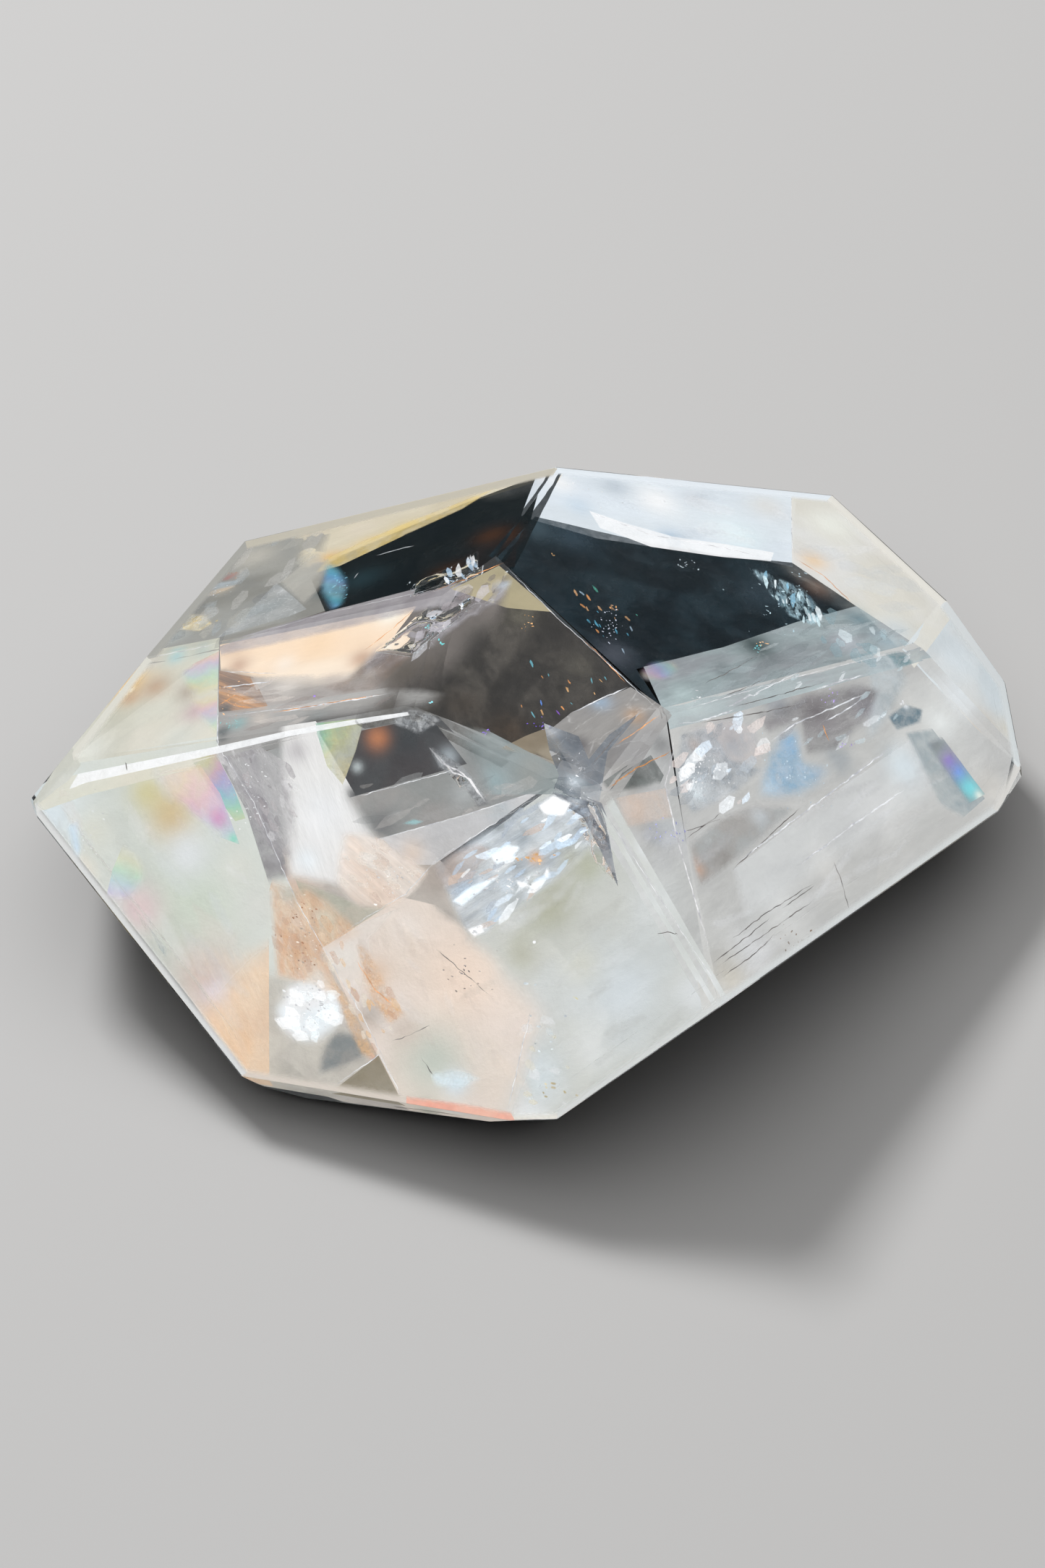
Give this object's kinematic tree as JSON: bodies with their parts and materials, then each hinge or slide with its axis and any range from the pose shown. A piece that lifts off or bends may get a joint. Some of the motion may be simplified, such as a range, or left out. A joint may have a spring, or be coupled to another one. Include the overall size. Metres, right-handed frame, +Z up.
{
  "type": "calcite freeform",
  "caption": "Polished freeform of clear, colourless calcite with flat facets, a pointed left end and a flat to rest on, for display.",
  "frame": {"origin": "middle of the stone's footprint, on the surface it rests on", "axes": "+X along the length, away from the pointed end; +Y towards the back, away from the big front face; +Z up"},
  "size_m": [0.0968, 0.0768, 0.0341],
  "materials": {
    "calcite": "polished"
  },
  "bodies": {
    "root": {"calcite_freeform": "calcite"}
  },
  "joints": []
}
